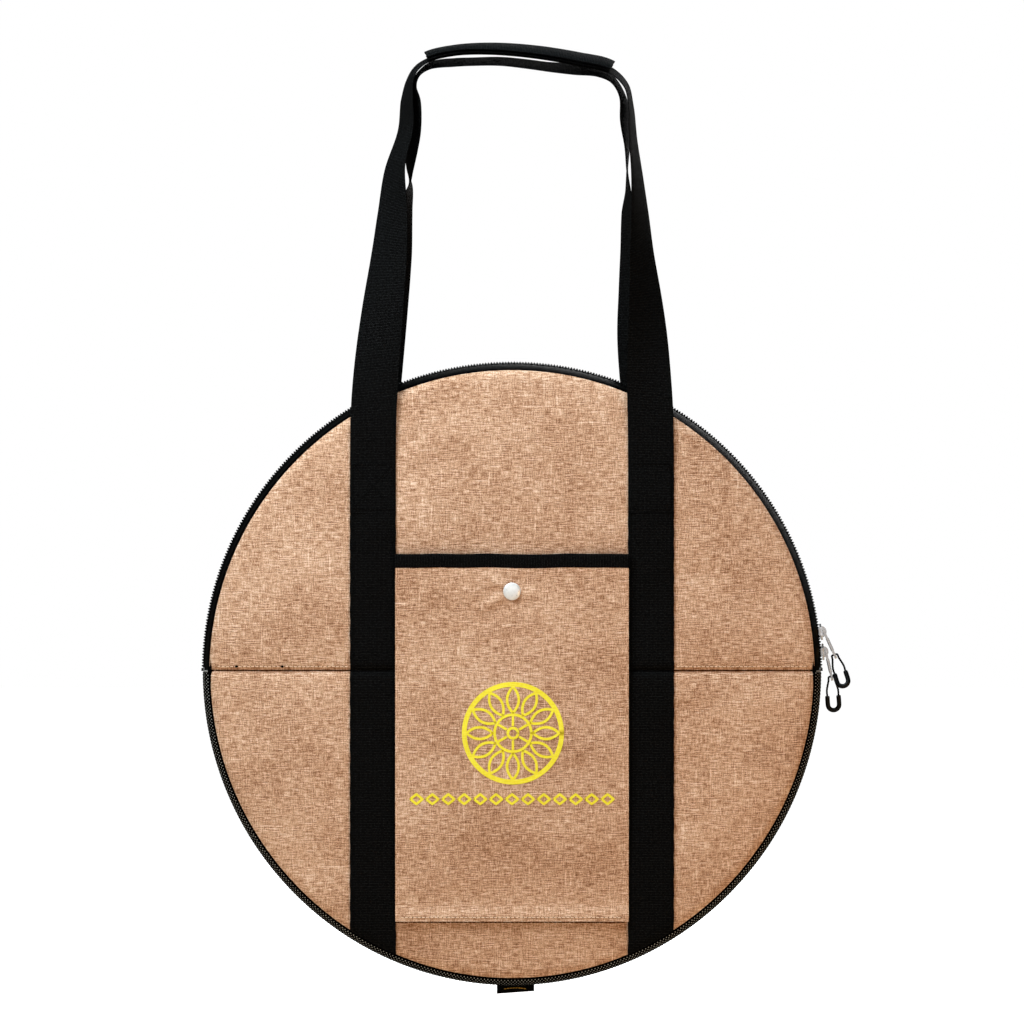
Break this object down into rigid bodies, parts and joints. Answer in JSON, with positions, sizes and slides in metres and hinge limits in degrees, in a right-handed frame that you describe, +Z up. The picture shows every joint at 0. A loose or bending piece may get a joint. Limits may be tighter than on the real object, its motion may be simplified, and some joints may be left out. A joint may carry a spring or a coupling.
{
  "type": "round padded carry bag",
  "caption": "Flat round padded carry bag with a zipped half-moon front flap, a front pocket with a press stud and two long webbing handles, one with a closing grip wrap.",
  "frame": {"origin": "centre of the round body, in the plane of the back panel's flat middle", "axes": "+Z up towards the handles, -Y out of the front, +X to the right seen from the front"},
  "size_m": [0.5676, 0.0761, 0.8378],
  "materials": {
    "canvas": "coarse plain-weave canvas in heathered beige",
    "foam": "closed-cell foam padding",
    "lining": "thin plain black lining",
    "webbing": "heavy black woven webbing",
    "zip_tape": "black zip tape with a slight sheen",
    "nylon": "black nylon",
    "plated_metal": "plated die-cast metal",
    "rubber": "soft black tube"
  },
  "bodies": {
    "bag": {"back_panel": "canvas", "front_panel_lower": "canvas", "pocket_panel_lower": "canvas", "back_foam": "foam", "front_foam_lower": "foam", "back_lining": "lining", "front_lining_lower": "lining", "gusset_lining": "lining", "back_seam_binding": "webbing", "front_seam_binding_lower": "webbing", "bottom_gusset": "webbing", "strap_front_left_lower": "webbing", "strap_front_right_lower": "webbing", "strap_back_left": "webbing", "strap_back_right": "webbing", "label_tab": "webbing", "zip_tape_back": "zip_tape", "zip_tape_front_end_right": "zip_tape", "zip_tape_front_end_left": "zip_tape", "zip_coil_back": "nylon", "zip_coil_front_end_right": "nylon", "zip_coil_front_end_left": "nylon", "zip_stop_right": "plated_metal", "zip_stop_left": "plated_metal"},
    "front_flap": {"front_panel_upper": "canvas", "front_foam_upper": "foam", "front_lining_upper": "lining", "front_seam_binding_upper": "webbing", "zip_tape_front": "zip_tape", "zip_coil_front": "nylon", "strap_front_left_upper": "webbing", "strap_front_right_upper": "webbing", "stud_rivet": "plated_metal", "stud_ball": "plated_metal"},
    "pocket_mouth": {"pocket_panel_upper": "canvas", "pocket_binding": "webbing", "stud_socket": "plated_metal", "stud_cap": "plated_metal"},
    "front_handle": {"handle_front": "webbing", "grip_pad": "webbing", "grip_loop_tape": "lining"},
    "grip_wrap": {"grip_hook_tape": "lining", "grip_flap": "webbing"},
    "back_handle": {"handle_back": "webbing"},
    "upper_slider": {"slider_upper": "plated_metal"},
    "upper_tab": {"pull_tab_upper": "plated_metal"},
    "upper_loop": {"pull_cord_upper": "nylon", "pull_sleeve_upper": "rubber"},
    "lower_slider": {"slider_lower": "plated_metal"},
    "lower_tab": {"pull_tab_lower": "plated_metal"},
    "lower_loop": {"pull_cord_lower": "nylon", "pull_sleeve_lower": "rubber"}
  },
  "joints": [
    {"name": "flap_open", "type": "hinge", "parent": "bag", "child": "front_flap", "pos_m": [0, -0.0698, 0], "axis": [1, 0, 0], "range_deg": [0, 100]},
    {"name": "pocket_open", "type": "hinge", "parent": "front_flap", "child": "pocket_mouth", "pos_m": [0, -0.0693, 0.0005], "axis": [1, 0, 0], "range_deg": [0, 14]},
    {"name": "front_handle_fold", "type": "hinge", "parent": "front_flap", "child": "front_handle", "pos_m": [0, -0.0648, 0.1835], "axis": [-1, 0, 0], "range_deg": [-150, 0]},
    {"name": "grip_wrap_open", "type": "hinge", "parent": "front_handle", "child": "grip_wrap", "pos_m": [0, -0.0112, 0.5552], "axis": [-1, 0, 0], "range_deg": [0, 150]},
    {"name": "back_handle_fold", "type": "hinge", "parent": "bag", "child": "back_handle", "pos_m": [0, 0.0008, 0.1835], "axis": [1, 0, 0], "range_deg": [-150, 0]},
    {"name": "upper_slider_travel", "type": "hinge", "parent": "bag", "child": "upper_slider", "pos_m": [0, -0.032, 0], "axis": [0, -1, 0], "range_deg": [0, 170]},
    {"name": "lower_slider_travel", "type": "hinge", "parent": "bag", "child": "lower_slider", "pos_m": [0, -0.032, 0], "axis": [0, -1, 0], "range_deg": [-1.3, 0.4]},
    {"name": "upper_tab_swing", "type": "hinge", "parent": "upper_slider", "child": "upper_tab", "pos_m": [0.27311, -0.032, 0.03547], "axis": [0, -1, 0], "range_deg": [-2, 110]},
    {"name": "lower_tab_swing", "type": "hinge", "parent": "lower_slider", "child": "lower_tab", "pos_m": [0.27483, -0.032, 0.01777], "axis": [0, -1, 0], "range_deg": [-2, 3]},
    {"name": "upper_loop_swing", "type": "hinge", "parent": "upper_tab", "child": "upper_loop", "pos_m": [0.28232, -0.032, 0.01516], "axis": [0, -1, 0], "range_deg": [-2, 24]},
    {"name": "lower_loop_swing", "type": "hinge", "parent": "lower_tab", "child": "lower_loop", "pos_m": [0.27973, -0.032, -0.00398], "axis": [0, -1, 0], "range_deg": [-2, 24]}
  ]
}
